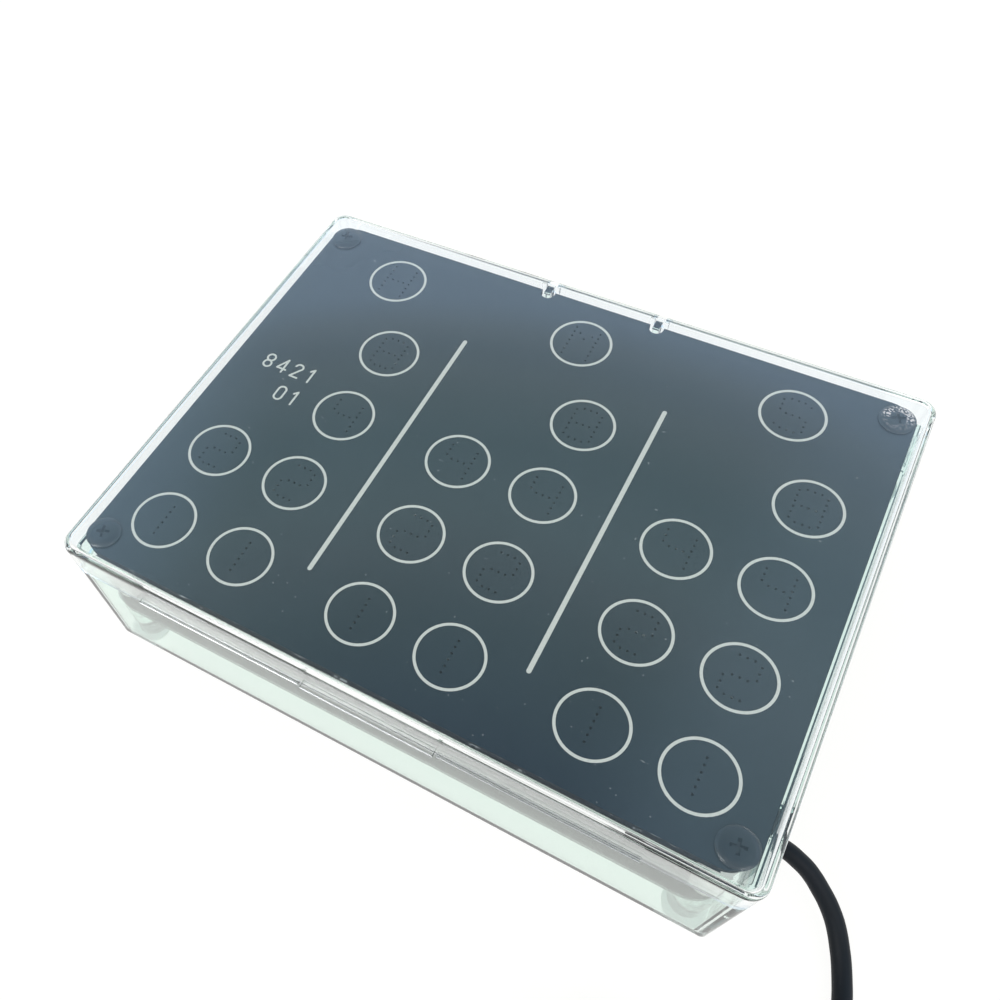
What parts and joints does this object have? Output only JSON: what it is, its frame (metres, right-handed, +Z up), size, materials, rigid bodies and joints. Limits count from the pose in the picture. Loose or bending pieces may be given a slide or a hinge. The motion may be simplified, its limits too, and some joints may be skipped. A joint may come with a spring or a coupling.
{
  "type": "binary desk clock",
  "caption": "Desk clock that shows the time as binary-coded digits: a dark perforated panel over boxed lamps in a clear case with a hinged lid, setting buttons behind and a power lead.",
  "frame": {"origin": "on the table, under the middle of the case", "axes": "+Z up from the table, +X to the right along the long side, -Y to the front edge with the finger lip"},
  "size_m": [0.1861, 0.2044, 0.044],
  "materials": {
    "clear_case": "clear moulded polystyrene, polished",
    "steel_pin": "bright",
    "foot_rubber": "clear soft rubber",
    "nylon_white": "satin nylon",
    "black_screw": "black oxide",
    "panel_dark": "dark blue-grey, glossy",
    "print_white": "off-white print",
    "diffuser": "frosted",
    "black_plastic": "matt black",
    "board_dark": "dark solder mask",
    "led_body": "white body with a clear lens",
    "chip_black": "moulded epoxy",
    "steel_bright": "nickel-plated",
    "capacitor_can": "satin can",
    "ivory_plastic": "natural nylon",
    "cable_black": "matt sheath"
  },
  "bodies": {
    "case": {"base_tray": "clear_case", "hinge_pins": "steel_pin", "rubber_feet": "foot_rubber", "spacers": "nylon_white", "panel_screws": "black_screw", "front_panel": "panel_dark", "panel_print": "print_white", "diffuser_sheet": "diffuser", "light_baffle": "black_plastic", "baffle_screws": "steel_bright", "led_board": "board_dark", "leds": "led_body", "microcontroller": "chip_black", "led_drivers": "chip_black", "clock_chip": "chip_black", "crystal": "steel_bright", "cell_holder": "black_plastic", "coin_cell": "steel_bright", "regulator": "chip_black", "resistors": "chip_black", "filter_capacitors": "capacitor_can", "tact_switches": "black_plastic", "power_socket": "ivory_plastic", "power_plug": "ivory_plastic", "inner_lead": "cable_black", "cable_grommet": "black_plastic", "cable_lead": "cable_black", "cable_coil": "cable_black", "cable_tail": "cable_black", "cable_tie": "black_plastic", "usb_plug_body": "cable_black", "usb_plug_shell": "steel_bright", "usb_plug_tongue": "ivory_plastic"},
    "lid": {"lid": "clear_case"},
    "hour_button": {"hour_button": "black_plastic"},
    "minute_button": {"minute_button": "black_plastic"}
  },
  "joints": [
    {"name": "lid_hinge", "type": "hinge", "parent": "case", "child": "lid", "pos_m": [0, 0.0574, 0.0359], "axis": [-1, 0, 0], "range_deg": [0, 110]},
    {"name": "hour_press", "type": "slide", "parent": "case", "child": "hour_button", "axis": [0, -1, 0], "range_m": [0, 0.0006], "stiffness_N_per_m": 1500, "springref_m": -0.0002},
    {"name": "minute_press", "type": "slide", "parent": "case", "child": "minute_button", "axis": [0, -1, 0], "range_m": [0, 0.0006], "stiffness_N_per_m": 1500, "springref_m": -0.0002}
  ]
}
